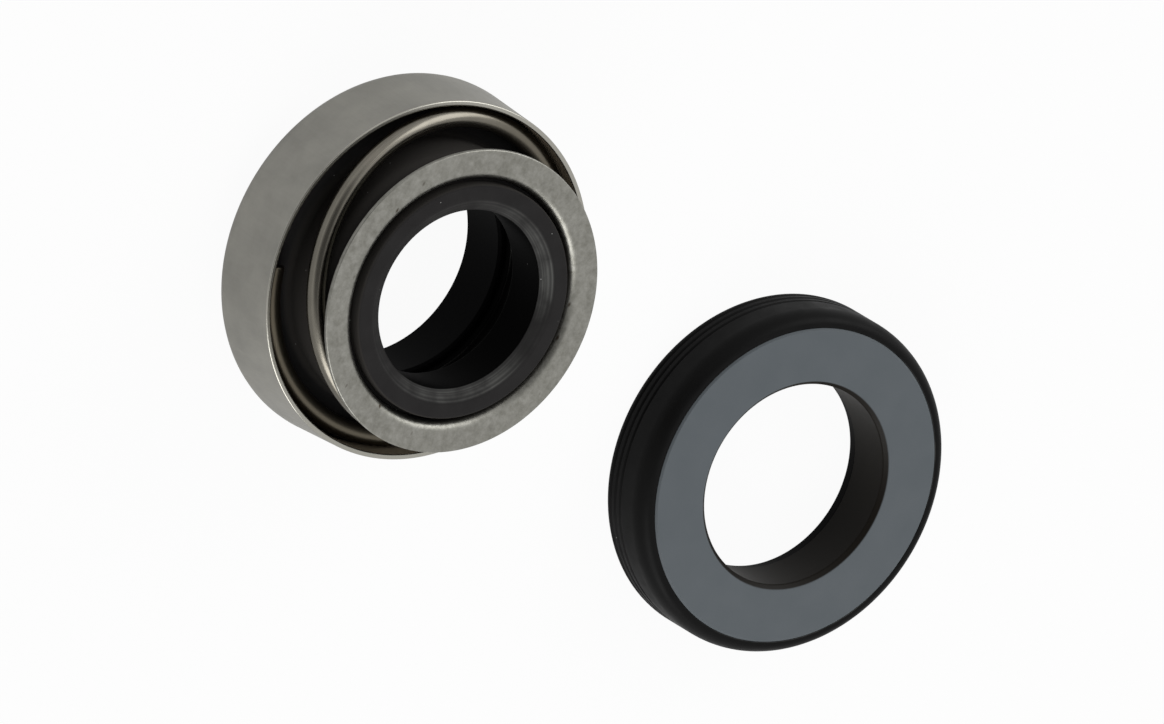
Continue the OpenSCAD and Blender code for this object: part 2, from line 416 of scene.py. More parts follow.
@dataclass(frozen=True)
class TumbledStainless:
    """Stainless steel blanked and then tumbled: a dull, mottled grey with a few dark pits.

    The stones leave dents of a fraction of a millimetre that scatter each reflection, and dirt
    stays as brown specks where they struck deep.

    Attributes:
        pit_core: Share of a pit's radius that is fully dark.
        pit_stretch: How much longer a pit is than wide.
    """

    name: str = "tumbled_stainless_304"
    dark: str = "#74736c"
    light: str = "#91908a"
    pit: str = "#3f372e"
    mottle_mm: float = 0.8
    # Real dents are about 0.1 mm across. They are drawn coarser so that they show.
    dent_mm: float = 0.22
    pit_spacing_mm: float = 1.7
    pit_mm: float = 0.2
    pit_core: float = 0.4
    pit_stretch: float = 2.2
    roughness: float = 0.38
    glossier: float = 0.05
    duller: float = 0.08
    relief_mm: float = 0.006

    def material(self) -> bpy.types.Material:
        """Builds the material.

        Returns:
            The finished material.
        """
        material, tree = new_tree(self.name)
        where = add_node(tree, "TexCoord")
        mottle = add_node(
            tree,
            "TexNoise",
            inputs={
                "Vector": where.outputs["Object"],
                "Scale": scale_for(self.mottle_mm),
                "Detail": 5.0,
                "Roughness": 0.65,
            },
        )
        dents = add_node(
            tree,
            "TexNoise",
            inputs={
                "Vector": where.outputs["Object"],
                "Scale": scale_for(self.dent_mm),
                "Detail": 2.0,
            },
        )
        stretched = add_node(
            tree,
            "Mapping",
            inputs={
                "Vector": where.outputs["Object"],
                "Scale": (1 / self.pit_stretch, 1.0, 1.0),
            },
        )
        pits = add_node(
            tree,
            "TexVoronoi",
            inputs={
                "Vector": stretched.outputs["Vector"],
                "Scale": scale_for(self.pit_spacing_mm),
                "Randomness": 1.0,
            },
        )
        pit_reach = self.pit_mm / self.pit_spacing_mm
        pitted = add_node(
            tree,
            "MapRange",
            inputs={
                "Value": pits.outputs["Distance"],
                "From Min": pit_reach * self.pit_core,
                "From Max": pit_reach,
                "To Min": 1.0,
                "To Max": 0.0,
            },
        )
        spread = add_node(
            tree,
            "MapRange",
            inputs={
                "Value": mottle.outputs["Fac"],
                "From Min": NOISE_LOW,
                "From Max": NOISE_HIGH,
            },
        )
        shade = add_node(
            tree,
            "Mix",
            {"data_type": "RGBA"},
            {
                "Factor": spread.outputs["Result"],
                6: to_linear(self.dark),
                7: to_linear(self.light),
            },
        )
        marked = add_node(
            tree,
            "Mix",
            {"data_type": "RGBA"},
            {
                "Factor": pitted.outputs["Result"],
                6: shade.outputs[2],
                7: to_linear(self.pit),
            },
        )
        gloss = add_node(
            tree,
            "MapRange",
            inputs={
                "Value": dents.outputs["Fac"],
                "From Min": NOISE_LOW,
                "From Max": NOISE_HIGH,
                "To Min": self.roughness - self.glossier,
                "To Max": self.roughness + self.duller,
            },
        )
        relief = add_node(
            tree,
            "Bump",
            inputs={
                "Height": dents.outputs["Fac"],
                "Distance": self.relief_mm * MM,
                "Strength": 1.0,
            },
        )
        shader = add_node(
            tree,
            "BsdfPrincipled",
            inputs={
                "Base Color": marked.outputs[2],
                "Metallic": 1.0,
                "Roughness": gloss.outputs["Result"],
                "Normal": relief.outputs["Normal"],
            },
        )
        output_surface(tree, shader)
        return material


@dataclass(frozen=True)
class SpringWire:
    """Stainless spring wire, cold drawn: bright, slightly warm, with fine lines along the wire.

    The coil that lies deep in the shell is painted darker and browner as painted shade, and is
    duller.

    Attributes:
        shade_top_mm: Height above the table from which the wire has no painted shade.
        shade_fade_mm: Height over which the painted shade thins out below that.
        along: Name of the layer with the coordinates along and round the wire.
    """

    name: str = "drawn_spring_wire_302"
    dark: str = "#65625a"
    light: str = "#7d7970"
    # Real draw lines are about 0.02 mm wide. They are drawn coarser so that they show.
    line_mm: float = 0.12
    line_length_mm: float = 5.0
    # Painted shade: the darker, browner colour of the coil deep in the shell.
    deep_coil_shade: str = "#5d574b"
    deep_coil_roughness: float = 0.38
    shade_top_mm: float = 11.5
    shade_fade_mm: float = 2.0
    cloud_mm: float = 3.0
    roughness: float = 0.25
    glossier: float = 0.04
    duller: float = 0.06
    relief_mm: float = 0.002
    along: str = "wire"

    def material(self) -> bpy.types.Material:
        """Builds the material.

        Returns:
            The finished material.
        """
        material, tree = new_tree(self.name)
        where = add_node(tree, "UVMap", {"uv_map": self.along})
        solid = add_node(tree, "TexCoord")
        stretched = add_node(
            tree,
            "Mapping",
            inputs={
                "Vector": where.outputs["UV"],
                "Scale": (self.line_mm / self.line_length_mm, 1.0, 1.0),
            },
        )
        lines = add_node(
            tree,
            "TexNoise",
            inputs={
                "Vector": stretched.outputs["Vector"],
                "Scale": scale_for(self.line_mm),
                "Detail": 3.0,
            },
        )
        clouds = add_node(
            tree,
            "TexNoise",
            inputs={"Vector": solid.outputs["Object"], "Scale": scale_for(self.cloud_mm)},
        )
        shade = add_node(
            tree,
            "Mix",
            {"data_type": "RGBA"},
            {
                "Factor": clouds.outputs["Fac"],
                6: to_linear(self.dark),
                7: to_linear(self.light),
            },
        )
        height = add_node(tree, "SeparateXYZ", inputs={"Vector": solid.outputs["Object"]})
        # Painted shade fades in below this height, on the coil deep in the shell.
        unshaded = add_node(
            tree,
            "MapRange",
            inputs={
                "Value": height.outputs["Z"],
                "From Min": (self.shade_top_mm - self.shade_fade_mm) * MM,
                "From Max": self.shade_top_mm * MM,
            },
        )
        shown = add_node(
            tree,
            "Mix",
            {"data_type": "RGBA"},
            {
                "Factor": unshaded.outputs["Result"],
                6: to_linear(self.deep_coil_shade),
                7: shade.outputs[2],
            },
        )
        gloss = add_node(
            tree,
            "MapRange",
            inputs={
                "Value": lines.outputs["Fac"],
                "From Min": NOISE_LOW,
                "From Max": NOISE_HIGH,
                "To Min": self.roughness - self.glossier,
                "To Max": self.roughness + self.duller,
            },
        )
        sheen = add_node(
            tree,
            "Mix",
            {"data_type": "FLOAT"},
            {0: unshaded.outputs["Result"], 2: self.deep_coil_roughness, 3: gloss.outputs["Result"]},
        )
        relief = add_node(
            tree,
            "Bump",
            inputs={
                "Height": lines.outputs["Fac"],
                "Distance": self.relief_mm * MM,
                "Strength": 1.0,
            },
        )
        shader = add_node(
            tree,
            "BsdfPrincipled",
            inputs={
                "Base Color": shown.outputs[2],
                "Metallic": 1.0,
                "Roughness": sheen.outputs[0],
                "Normal": relief.outputs["Normal"],
            },
        )
        output_surface(tree, shader)
        return material


@dataclass(frozen=True)
class NitrileRubber:
    """Nitrile rubber, compression moulded: near black, dull, with a few grains of dust.

    The mould's surface leaves a fine grain, which softens the shine, and the rubber's own bloom
    leaves slow, slightly greyer patches. The turned core of the mould leaves faint rings on a
    cone that leads into a bore, and the cone is painted grey as a painted highlight, most where it
    faces towards -Y and to either side. The bore is painted near black as painted shade, and the
    walls that face outwards are painted lighter as painted fill light.

    Attributes:
        axis_mm: Where the piece's axis crosses its own X and Y.
        cone_facing: How far a wall faces outwards where the cone starts and where it is full.
        bore_shade_facing: The same for the bore's painted shade.
        wall_fill_facing: The same for the painted fill light on the walls that face outwards.
        highlight_front: How far the cone faces along Y where its painted highlight is least and
            full.
        highlight_sides: How far it faces along X, to either side, where the painted highlight is
            least and full.
        highlight_least: Share of the painted highlight where it is least.
        patchy: Values of the bloom's patches at which the painted highlight is thinnest and full.
        patchy_least: Share of the painted highlight where it is thinnest.
        dust_core: Share of a dust grain's radius that is fully light.
    """

    name: str = "moulded_nitrile_rubber"
    axis_mm: tuple[float, float] = (0.0, 0.0)
    dark: str = "#262525"
    bloom: str = "#323131"
    dust: str = "#a2a2a0"
    # Painted shade: the near black of the bore.
    bore: str = "#050505"
    # Painted fill light: the lighter colour of the walls that face outwards.
    wall: str = "#363432"
    # Painted highlight: the cone's greys, with real turning rings between these two.
    cone_dark: str = "#434342"
    cone_light: str = "#5d5d5b"
    cone_roughness: float = 0.36
    cone_facing: tuple[float, float] = (-0.25, -0.5)
    bore_shade_facing: tuple[float, float] = (-0.65, -0.95)
    wall_fill_facing: tuple[float, float] = (0.4, 0.8)
    highlight_front: tuple[float, float] = (0.25, -0.3)
    highlight_sides: tuple[float, float] = (0.1, 0.28)
    highlight_least: float = 0.15
    patchy: tuple[float, float] = (0.35, 0.6)
    patchy_least: float = 0.35
    # Real turning rings are about 0.1 mm apart and the mould's grain is about 0.03 mm. Both are
    # drawn coarser so that they show.
    ring_mm: float = 0.2
    bloom_mm: float = 2.5
    grain_mm: float = 0.12
    dust_spacing_mm: float = 1.7
    dust_mm: float = 0.08
    dust_core: float = 0.5
    roughness: float = 0.55
    glossier: float = 0.06
    duller: float = 0.08
    ior: float = 1.52
    specular: float = 0.012
    relief_mm: float = 0.006

    def material(self) -> bpy.types.Material:
        """Builds the material.

        Returns:
            The finished material.
        """
        material, tree = new_tree(self.name)
        where = add_node(tree, "TexCoord")
        patches = add_node(
            tree,
            "TexNoise",
            inputs={
                "Vector": where.outputs["Object"],
                "Scale": scale_for(self.bloom_mm),
                "Detail": 4.0,
            },
        )
        grain = add_node(
            tree,
            "TexNoise",
            inputs={
                "Vector": where.outputs["Object"],
                "Scale": scale_for(self.grain_mm),
                "Detail": 2.0,
            },
        )
        grains = add_node(
            tree,
            "TexVoronoi",
            inputs={
                "Vector": where.outputs["Object"],
                "Scale": scale_for(self.dust_spacing_mm),
            },
        )
        dust_reach = self.dust_mm / self.dust_spacing_mm
        dusty = add_node(
            tree,
            "MapRange",
            inputs={
                "Value": grains.outputs["Distance"],
                "From Min": dust_reach * self.dust_core,
                "From Max": dust_reach,
                "To Min": 1.0,
                "To Max": 0.0,
            },
        )
        shade = add_node(
            tree,
            "Mix",
            {"data_type": "RGBA"},
            {
                "Factor": patches.outputs["Fac"],
                6: to_linear(self.dark),
                7: to_linear(self.bloom),
            },
        )
        facing, distance = round_axis(tree, where, self.axis_mm)
        # Masks for the cone's painted highlight, the bore's painted shade and the outward walls'
        # painted fill light.
        on_cone, bore_shaded, wall_filled = (
            add_node(tree, "MapRange", inputs={"Value": facing, "From Min": start, "From Max": full})
            for start, full in (self.cone_facing, self.bore_shade_facing, self.wall_fill_facing)
        )
        rings = add_node(
            tree,
            "TexNoise",
            {"noise_dimensions": "1D"},
            {"W": distance, "Scale": scale_for(self.ring_mm), "Detail": 1.0},
        )
        side = add_node(tree, "SeparateXYZ", inputs={"Vector": where.outputs["Normal"]})
        sideways = add_node(
            tree, "Math", {"operation": "ABSOLUTE"}, {0: side.outputs["X"]}
        )
        # The cone's painted highlight: strongest where it faces towards -Y and to either side,
        # broken up by the bloom's patches.
        cone_highlight = on_cone.outputs["Result"]
        for value, (start, full), least in (
            (side.outputs["Y"], self.highlight_front, self.highlight_least),
            (sideways.outputs[0], self.highlight_sides, self.highlight_least),
            (patches.outputs["Fac"], self.patchy, self.patchy_least),
        ):
            share = add_node(
                tree,
                "MapRange",
                inputs={
                    "Value": value,
                    "From Min": start,
                    "From Max": full,
                    "To Min": least,
                    "To Max": 1.0,
                },
            )
            weighed = add_node(
                tree, "Math", {"operation": "MULTIPLY"}, {0: cone_highlight, 1: share.outputs["Result"]}
            )
            cone_highlight = weighed.outputs[0]
        ringed = add_node(
            tree,
            "MapRange",
            inputs={
                "Value": rings.outputs["Fac"],
                "From Min": NOISE_LOW,
                "From Max": NOISE_HIGH,
            },
        )
        cone = add_node(
            tree,
            "Mix",
            {"data_type": "RGBA"},
            {
                "Factor": ringed.outputs["Result"],
                6: to_linear(self.cone_dark),
                7: to_linear(self.cone_light),
            },
        )
        # Lays on the walls' painted fill light, the cone's painted highlight with its turning rings,
        # the bore's painted shade and the dust.
        colour = shade.outputs[2]
        for share, over in (
            (wall_filled.outputs["Result"], to_linear(self.wall)),
            (cone_highlight, cone.outputs[2]),
            (bore_shaded.outputs["Result"], to_linear(self.bore)),
            (dusty.outputs["Result"], to_linear(self.dust)),
        ):
            mixed = add_node(
                tree, "Mix", {"data_type": "RGBA"}, {"Factor": share, 6: colour, 7: over}
            )
            colour = mixed.outputs[2]
        gloss = add_node(
            tree,
            "MapRange",
            inputs={
                "Value": patches.outputs["Fac"],
                "From Min": NOISE_LOW,
                "From Max": NOISE_HIGH,
                "To Min": self.roughness - self.glossier,
                "To Max": self.roughness + self.duller,
            },
        )
        sheen = add_node(
            tree,
            "Mix",
            {"data_type": "FLOAT"},
            {0: on_cone.outputs["Result"], 2: gloss.outputs["Result"], 3: self.cone_roughness},
        )
        relief = add_node(
            tree,
            "Bump",
            inputs={
                "Height": grain.outputs["Fac"],
                "Distance": self.relief_mm * MM,
                "Strength": 1.0,
            },
        )
        shader = add_node(
            tree,
            "BsdfPrincipled",
            inputs={
                "Base Color": colour,
                "Roughness": sheen.outputs[0],
                "IOR": self.ior,
                "Specular IOR Level": self.specular,
                "Normal": relief.outputs["Normal"],
            },
        )
        output_surface(tree, shader)
        return material


@dataclass(frozen=True)
class PressedCarbon:
    """Resin-filled carbon graphite, pressed and turned: dark grey with a soft, greasy shine."""

    name: str = "pressed_carbon_graphite"
    dark: str = "#0b0b0c"
    light: str = "#151516"
    # The real grains are about 0.03 mm. They are drawn coarser so that they show.
    grit_mm: float = 0.18
    roughness: float = 0.5
    specular: float = 0.04
    relief_mm: float = 0.004

    def material(self) -> bpy.types.Material:
        """Builds the material.

        Returns:
            The finished material.
        """
        material, tree = new_tree(self.name)
        where = add_node(tree, "TexCoord")
        grit = add_node(
            tree,
            "TexNoise",
            inputs={
                "Vector": where.outputs["Object"],
                "Scale": scale_for(self.grit_mm),
                "Detail": 3.0,
            },
        )
        shade = add_node(
            tree,
            "Mix",
            {"data_type": "RGBA"},
            {
                "Factor": grit.outputs["Fac"],
                6: to_linear(self.dark),
                7: to_linear(self.light),
            },
        )
        relief = add_node(
            tree,
            "Bump",
            inputs={
                "Height": grit.outputs["Fac"],
                "Distance": self.relief_mm * MM,
                "Strength": 1.0,
            },
        )
        shader = add_node(
            tree,
            "BsdfPrincipled",
            inputs={
                "Base Color": shade.outputs[2],
                "Roughness": self.roughness,
                "Specular IOR Level": self.specular,
                "Normal": relief.outputs["Normal"],
            },
        )
        output_surface(tree, shader)
        return material


@dataclass(frozen=True)
class LappedSiliconCarbide:
    """Sintered silicon carbide: the lapped face is an even blue grey, the bore is painted dark as
    shade.

    Lapping leaves a very fine matt surface with no direction, which runs over the outer edge. The
    bore and the sides, which face away from above, are painted a dark warm brown as painted shade.

    Attributes:
        rim_share: How much of an outward slope counts as upward, so that the edge keeps the face's
            colour.
        unshaded_upward: How far the surface faces upwards where the painted shade gives way and is
            gone.
    """

    name: str = "lapped_silicon_carbide"
    face: str = "#595f63"
    face_light: str = "#62676b"
    # Painted shade: the dark warm brown of the bore and the sides.
    bore_and_side_shade: str = "#171410"
    rim_share: float = 0.35
    unshaded_upward: tuple[float, float] = (0.55, 0.9)
    patch_mm: float = 4.0
    # Real lapping marks are about 0.01 mm wide. They are drawn coarser so that they show.
    grit_mm: float = 0.1
    roughness: float = 0.45
    specular: float = 0.1
    relief_mm: float = 0.002

    def material(self) -> bpy.types.Material:
        """Builds the material.

        Returns:
            The finished material.
        """
        material, tree = new_tree(self.name)
        where = add_node(tree, "TexCoord")
        patches = add_node(
            tree,
            "TexNoise",
            inputs={
                "Vector": where.outputs["Object"],
                "Scale": scale_for(self.patch_mm),
                "Detail": 3.0,
            },
        )
        grit = add_node(
            tree,
            "TexNoise",
            inputs={
                "Vector": where.outputs["Object"],
                "Scale": scale_for(self.grit_mm),
                "Detail": 2.0,
            },
        )
        # The bore and the sides, which face away from above, get painted shade; the face and its
        # outer edge keep the face's colour.
        upward = add_node(tree, "SeparateXYZ", inputs={"Vector": where.outputs["Normal"]})
        outward, _ = round_axis(tree, where)
        up_and_out = add_node(
            tree,
            "Math",
            {"operation": "MULTIPLY_ADD"},
            {0: outward, 1: self.rim_share, 2: upward.outputs["Z"]},
        )
        lapped = add_node(
            tree,
            "MapRange",
            inputs={
                "Value": up_and_out.outputs[0],
                "From Min": self.unshaded_upward[0],
                "From Max": self.unshaded_upward[1],
            },
        )
        even = add_node(
            tree,
            "Mix",
            {"data_type": "RGBA"},
            {
                "Factor": patches.outputs["Fac"],
                6: to_linear(self.face),
                7: to_linear(self.face_light),
            },
        )
        shade = add_node(
            tree,
            "Mix",
            {"data_type": "RGBA"},
            {
                "Factor": lapped.outputs["Result"],
                6: to_linear(self.bore_and_side_shade),
                7: even.outputs[2],
            },
        )
        relief = add_node(
            tree,
            "Bump",
            inputs={
                "Height": grit.outputs["Fac"],
                "Distance": self.relief_mm * MM,
                "Strength": 1.0,
            },
        )
        shader = add_node(
            tree,
            "BsdfPrincipled",
            inputs={
                "Base Color": shade.outputs[2],
                "Roughness": self.roughness,
                "Specular IOR Level": self.specular,
                "Normal": relief.outputs["Normal"],
            },
        )
        output_surface(tree, shader)
        return material


def arc_at(
    before: Vector, here: Vector, after: Vector, radius: float, steps: int
) -> list[Vector]:
    """Rounds one corner of an outline.

    Args:
        before: The corner before.
        here: The corner that is rounded.
        after: The corner after.
        radius: Radius of the arc.
        steps: Number of straight steps along the arc.

    Returns:
        The points of the arc, from the side before to the side after.
    """
    back = (before - here).normalized()
    on = (after - here).normalized()
    half = math.acos(max(-1.0, min(1.0, back.dot(on)))) / 2
    if radius <= 0 or math.pi / 2 - half < STRAIGHT:
        return [here.copy()]
    centre = here + (back + on).normalized() * (radius / math.sin(half))
    start = here + back * (radius / math.tan(half)) - centre
    turn = math.pi - 2 * half
    if back.x * on.y - back.y * on.x > 0:
        turn = -turn
    return [centre + Matrix.Rotation(turn * i / steps, 2) @ start for i in range(steps + 1)]


def rounded(corners: list[Corner], steps: int = 8, ease: float = 0.03) -> list[Vector]:
    """Works out the outline of a turned body with its corners rounded.

    Beside each straight stretch's ends lies one more point, so that smooth shading doesn't
    bleed from an arc into the flat.

    Args:
        corners: The corners in order round the outline.
        steps: Number of steps in each arc.
        ease: Distance of the extra points from the ends, in millimetres.

    Returns:
        The outline's points, x as the radius and y as the height.
    """
    points = [Vector((corner.r, corner.z)) for corner in corners]
    arcs = [
        arc_at(points[i - 1], points[i], points[(i + 1) % len(points)], corner.rounding, steps)
        for i, corner in enumerate(corners)
    ]
    outline: list[Vector] = []
    for i, arc in enumerate(arcs):
        following = arcs[(i + 1) % len(arcs)][0]
        outline.extend(arc)
        gap = following - arc[-1]
        if gap.length > 4 * ease:
            outline.append(arc[-1] + gap.normalized() * ease)
            outline.append(following - gap.normalized() * ease)
    return outline


def new_piece(
    name: str, points: list[Vector], faces: list[tuple[int, ...]], at: Place
) -> bpy.types.Object:
    """Makes a smooth mesh object whose origin lies on its axis.

    Args:
        name: The piece's name.
        points: Its points in millimetres from the axis, height from the table.
        faces: Its faces.
        at: The place whose axis it stands on.

    Returns:
        The new object, linked to the scene.
    """
    mesh = bpy.data.meshes.new(name)
    mesh.from_pydata([point * MM for point in points], [], faces)
    mesh.update()
    mesh.shade_smooth()
    mesh.set_sharp_from_angle(angle=math.radians(SHARP_FROM))
    piece = bpy.data.objects.new(name, mesh)
    piece.location = (at.x * MM, at.y * MM, 0)
    bpy.context.scene.collection.objects.link(piece)
    return piece


def turned(
    name: str, corners: list[Corner], at: Place, around: int = 256, steps: int = 8
) -> bpy.types.Object:
    """Turns an outline round an axis.

    Args:
        name: The piece's name.
        corners: The outline's corners, in order.
        at: The place whose axis it stands on.
        around: Number of steps round the axis.
        steps: Number of steps in each arc of the outline.

    Returns:
        The turned body.
    """
    outline = rounded(corners, steps)
    points = []
    for i in range(around):
        angle = 2 * math.pi * i / around
        across = Vector((math.cos(angle), math.sin(angle), 0))
        points.extend(across * p.x + Vector((0, 0, p.y)) for p in outline)
    count = len(outline)
    faces = []
    for i in range(around):
        here, there = i * count, (i + 1) % around * count
        for k in range(count):
            after = (k + 1) % count
            faces.append((here + k, there + k, there + after, here + after))
    return new_piece(name, points, faces, at)


def dress(piece: bpy.types.Object, material: bpy.types.Material, node: str) -> None:
    """Gives a piece its finish and lets it stand for its CAD node.

    Args:
        piece: The piece.
        material: Its finish.
        node: The CAD node that it replaces.
    """
    piece.data.materials.append(material)
    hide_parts(node)


@dataclass
class SealHead:
    """The rotating head: carbon ring, shell, bellows, spring and spring holder.

    Sizes are in millimetres. Heights and outer radii come from the frame.
    """

    shell_t: float = 0.55
    shell_lean: float = 0.5
    shell_corner_r: float = 1.7
    opening_gap: float = 1.1
    sheet_edge_r: float = 0.15
    cup_t: float = 2.6
    carbon_shoulder_w: float = 2.1
    carbon_bore_r: float = 11.6
    carbon_body_h: float = 2.8
    carbon_chamfer: float = 0.25
    back_t: float = 1.2
    back_step: float = 0.6
    shaft_r: float = 9.525
    tail_t: float = 3.375
    wall_flare: float = 1.6
    wall_t: float = 1.4
    grip_l: float = 5.2
    lead_in_w: float = 1.35
    lead_in_h: float = 0.9
    tail_step_w: float = 0.4
    tail_step_h: float = 1.6
    tail_edge_r: float = 0.3
    bead_w: float = 0.5
    bead_h: float = 0.3
    bead_r: float = 0.4
    mouth_r: float = 0.9
    cup_foot_r: float = 0.1
    cup_top_r: float = 0.5
    wall_foot_r: float = 1.0
    wall_fold_r: float = 0.6
    hip_h: float = 1.1
    hip_r: float = 1.5
    neck_gap: float = 0.2
    neck_r: float = 0.7
    step_r: float = 0.08
    grip_slope_h: float = 0.3
    rubber_edge_r: float = 0.25
    pocket_r: float = 0.05
    wire_r: float = 1.0
    wire_edge: float = 0.12
    wide_gap: float = 0.75
    narrow_gap: float = 0.4
    spring_gap: float = 0.05
    coil_start: float = 291.0
    wide_turn: float = 204.0
    open_turn: float = 230.0
    narrow_start: float = 60.0
    narrow_span: float = 190.0
    narrow_turn: float = 180.0
    wide_rise: float = 0.3
    holder_t: float = 0.5
    roll_r: float = 1.1
    collar_gap: float = 0.05

    def __post_init__(self) -> None:
        """Works out the heights and radii that the pieces share."""
        self.carbon = place_of("carbon_ring")
        self.shell = place_of("retainer_shell")
        self.rubber = place_of("bellows")
        self.holder = place_of("spring_holder")
        self.spring = place_of("coil_spring")
        self.shell_in_r = self.carbon.radius + self.cup_t
        self.shell_floor = self.shell.low + self.shell_t
        self.carbon_nose_r = self.carbon.radius - self.carbon_shoulder_w
        self.carbon_shoulder = self.carbon.high - self.carbon_body_h
        self.spring_seat = self.carbon.high + self.back_t
        self.tail_r = self.shaft_r + self.tail_t
        self.wall_r = self.tail_r + self.wall_flare
        self.collar_in_r = self.tail_r + self.collar_gap
        self.collar_r = self.collar_in_r + self.holder_t
        self.holder_under = self.holder.high - self.holder_t
        self.grip_z = self.rubber.high - self.lead_in_h - self.grip_l

    def shell_inside(self, z: float) -> float:
        """Gives the shell's inside radius at a height, as its wall leans in towards the rim."""
        rise = self.shell.high - self.shell.low
        return self.shell_in_r - self.shell_lean * (z - self.shell.low) / rise

    def carbon_ring(self) -> bpy.types.Object:
        """Builds the running ring of pressed carbon.

        Returns:
            The ring.
        """
        cut = self.carbon_chamfer
        top = self.carbon.high
        return turned(
            "running_ring",
            [
                Corner(self.carbon_bore_r + cut, 0),
                Corner(self.carbon_nose_r - cut, 0),
                Corner(self.carbon_nose_r, cut),
                Corner(self.carbon_nose_r, self.carbon_shoulder),
                Corner(self.carbon.radius, self.carbon_shoulder),
                Corner(self.carbon.radius, top - cut),
                Corner(self.carbon.radius - cut, top),
                Corner(self.carbon_bore_r + cut, top),
                Corner(self.carbon_bore_r, top - cut),
                Corner(self.carbon_bore_r, cut),
            ],
            self.carbon,
            steps=3,
        )

    def retainer_shell(self) -> bpy.types.Object:
        """Builds the drawn shell.

        Returns:
            The shell.
        """
        opening_r = self.carbon_nose_r + self.opening_gap
        foot_r = self.shell_in_r + self.shell_t
        rim_in_r = self.shell_inside(self.shell.high)
        floor_r = self.shell_inside(self.shell_floor)
        edge = self.sheet_edge_r
        return turned(
            "drawn_shell",
            [
                Corner(opening_r, self.shell.low, edge),
                Corner(foot_r, self.shell.low, self.shell_corner_r),
                Corner(rim_in_r + self.shell_t, self.shell.high, edge),
                Corner(rim_in_r, self.shell.high, edge),
                Corner(floor_r, self.shell_floor, self.shell_corner_r - self.shell_t),
                Corner(opening_r, self.shell_floor, edge),
            ],
            self.shell,
            around=360,
        )

    def bellows(self) -> bpy.types.Object:
        """Builds the rubber bellows: cup, flexible wall and tail in one moulding.

        Returns:
            The bellows.
        """
        neck = self.holder.low - self.neck_gap
        hip = neck - self.hip_h
        edge = self.rubber_edge_r
        wall_in_r = self.wall_r - self.wall_t
        back_bore_r = self.carbon_bore_r + self.back_step
        mouth = self.shaft_r + self.lead_in_w
        floor_r = self.shell_inside(self.shell_floor)
        face_r = self.tail_r - self.tail_step_w
        step_z = self.rubber.high - self.tail_step_h
        return turned(
            "rubber_bellows",
            [
                Corner(self.carbon_nose_r, self.shell_floor, self.cup_foot_r),
                Corner(floor_r, self.shell_floor, self.shell_corner_r - self.shell_t),
                Corner(self.shell_inside(self.spring_seat), self.spring_seat, self.cup_top_r),
                Corner(self.wall_r, self.spring_seat, self.wall_foot_r),
                Corner(self.wall_r, hip, self.hip_r),
                Corner(self.tail_r, neck, self.neck_r),
                Corner(self.tail_r, step_z, edge),
                Corner(face_r, step_z, self.step_r),
                Corner(face_r, self.rubber.high, self.tail_edge_r),
                Corner(mouth, self.rubber.high, self.mouth_r),
                Corner(mouth - self.bead_w, self.rubber.high - self.bead_h, self.bead_r),
                Corner(self.shaft_r, self.rubber.high - self.lead_in_h, edge),
                Corner(self.shaft_r, self.grip_z, edge),
                Corner(wall_in_r, self.grip_z - self.grip_slope_h, self.wall_fold_r),
                Corner(wall_in_r, self.spring_seat, self.wall_fold_r),
                Corner(back_bore_r, self.spring_seat, edge),
                Corner(back_bore_r, self.carbon.high, self.pocket_r),
                Corner(self.carbon.radius, self.carbon.high, self.pocket_r),
                Corner(self.carbon.radius, self.carbon_shoulder, self.pocket_r),
                Corner(self.carbon_nose_r, self.carbon_shoulder, self.pocket_r),
            ],
            self.rubber,
            around=320,
        )

    def wire_point(self, turn: float) -> Vector:
        """Gives the wire's centre after a turn.

        Args:
            turn: How far round from the wide coil's cut end, in degrees.

        Returns:
            The point in millimetres from the axis, height from the table.
        """
        climb = eased((turn - self.wide_turn) / self.open_turn)
        narrowing = eased((turn - self.wide_turn - self.narrow_start) / self.narrow_span)
        settle = self.wide_rise * min(turn / self.wide_turn, 1.0)
        wide_r = self.shell_in_r - self.wide_gap - self.wire_r
        narrow_r = self.collar_r + self.narrow_gap + self.wire_r
        low = self.spring_seat + self.wire_r
        high = self.holder_under - self.spring_gap - self.wire_r
        radius = wide_r + (narrow_r - wide_r) * narrowing
        angle = math.radians(self.coil_start + turn)
        height = low + settle + (high - low - settle) * climb
        return Vector((radius * math.cos(angle), radius * math.sin(angle), height))

    def coil_spring(self, step: float = 1.5, sides: int = 32) -> bpy.types.Object:
        """Sweeps the round wire along the spring's path, with broken edges at its cut ends.

        Args:
            step: Distance between rings along the coil, in degrees.
            sides: Number of sides round the wire.

        Returns:
            The spring, with coordinates along the wire in the layer of that name.
        """
        whole = self.wide_turn + self.open_turn + self.narrow_turn
        count = math.ceil(whole / step)
        turns = [whole * i / count for i in range(count + 1)]
        nip = math.degrees(self.wire_edge / (self.spring.radius - self.wire_r))
        cut_r = self.wire_r - self.wire_edge
        stations = [(0.0, cut_r), (nip, self.wire_r)]
        stations += [(turn, self.wire_r) for turn in turns[1:-1]]
        stations += [(whole - nip, self.wire_r), (whole, cut_r)]
        points: list[Vector] = []
        lengths: list[float] = []
        run = 0.0
        last = self.wire_point(0)
        for turn, radius in stations:
            centre = self.wire_point(turn)
            run += (centre - last).length
            last = centre
            lengths.append(run)
            along = (self.wire_point(turn + 1) - self.wire_point(turn - 1)).normalized()
            out = Vector((centre.x, centre.y, 0)).normalized()
            up = out.cross(along).normalized()
            for k in range(sides):
                angle = 2 * math.pi * k / sides
                points.append(centre + radius * (math.cos(angle) * out - math.sin(angle) * up))
        faces: list[tuple[int, ...]] = [tuple(range(sides))]
        for i in range(len(stations) - 1):
            for k in range(sides):
                a, b = i * sides + k, i * sides + (k + 1) % sides
                faces.append((a, a + sides, b + sides, b))
        end = (len(stations) - 1) * sides
        faces.append(tuple(end + k for k in reversed(range(sides))))
